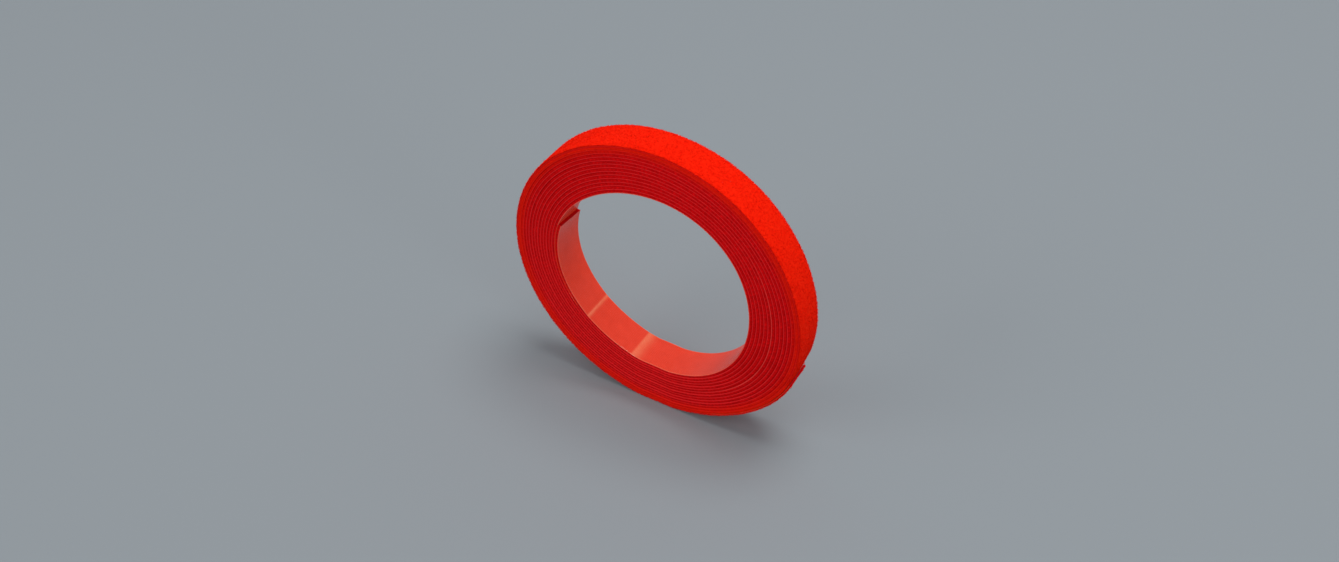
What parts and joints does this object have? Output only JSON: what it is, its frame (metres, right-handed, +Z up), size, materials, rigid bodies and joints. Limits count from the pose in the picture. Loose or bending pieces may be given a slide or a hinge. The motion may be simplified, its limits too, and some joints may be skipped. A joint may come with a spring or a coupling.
{
  "type": "hook and loop tape roll",
  "caption": "Coreless roll of red back-to-back hook and loop tape, hook film inside and brushed loop fabric outside, with a free tail that peels off and a free end in the bore.",
  "frame": {"origin": "on the floor, in the middle of the flat foot under the standing roll, straight below its axis", "axes": "+Z up, +Y along the roll's axis away from the front side, +X to the right seen from the front"},
  "size_m": [0.1354, 0.016, 0.135],
  "materials": {
    "hook_film": "satin moulded film with rows of small hooks",
    "loop_fabric": "brushed loop knit"
  },
  "bodies": {
    "roll": {"hook_film_roll": "hook_film", "loop_fabric_roll": "loop_fabric"},
    "tail_1": {"hook_film_tail_1": "hook_film", "loop_fabric_tail_1": "loop_fabric"},
    "tail_2": {"hook_film_tail_2": "hook_film", "loop_fabric_tail_2": "loop_fabric"},
    "tail_3": {"hook_film_tail_3": "hook_film", "loop_fabric_tail_3": "loop_fabric"},
    "tail_4": {"hook_film_tail_4": "hook_film", "loop_fabric_tail_4": "loop_fabric"},
    "inner_end_1": {"hook_film_inner_end_1": "hook_film", "loop_fabric_inner_end_1": "loop_fabric"},
    "inner_end_2": {"hook_film_inner_end_2": "hook_film", "loop_fabric_inner_end_2": "loop_fabric"},
    "inner_end_3": {"hook_film_inner_end_3": "hook_film", "loop_fabric_inner_end_3": "loop_fabric"}
  },
  "joints": [
    {"name": "tail_peel_1", "type": "hinge", "parent": "roll", "child": "tail_1", "pos_m": [0.03455, 0, 0.00816], "axis": [0, 1, 0], "range_deg": [0, 20], "stiffness_Nm_per_rad": 0.004},
    {"name": "tail_peel_2", "type": "hinge", "parent": "tail_1", "child": "tail_2", "pos_m": [0.04405, 0, 0.01431], "axis": [0, 1, 0], "range_deg": [0, 20], "stiffness_Nm_per_rad": 0.004},
    {"name": "tail_peel_3", "type": "hinge", "parent": "tail_2", "child": "tail_3", "pos_m": [0.05253, 0, 0.02191], "axis": [0, 1, 0], "range_deg": [0, 20], "stiffness_Nm_per_rad": 0.004},
    {"name": "tail_peel_4", "type": "hinge", "parent": "tail_3", "child": "tail_4", "pos_m": [0.05966, 0, 0.03089], "axis": [0, 1, 0], "range_deg": [0, 20], "stiffness_Nm_per_rad": 0.004},
    {"name": "inner_peel_1", "type": "hinge", "parent": "roll", "child": "inner_end_1", "pos_m": [-0.04198, 0, 0.04914], "axis": [0, 1, 0], "range_deg": [0, 25], "stiffness_Nm_per_rad": 0.004},
    {"name": "inner_peel_2", "type": "hinge", "parent": "inner_end_1", "child": "inner_end_2", "pos_m": [-0.04552, 0, 0.05962], "axis": [0, 1, 0], "range_deg": [0, 25], "stiffness_Nm_per_rad": 0.004},
    {"name": "inner_peel_3", "type": "hinge", "parent": "inner_end_2", "child": "inner_end_3", "pos_m": [-0.04617, 0, 0.07073], "axis": [0, 1, 0], "range_deg": [0, 25], "stiffness_Nm_per_rad": 0.004}
  ]
}
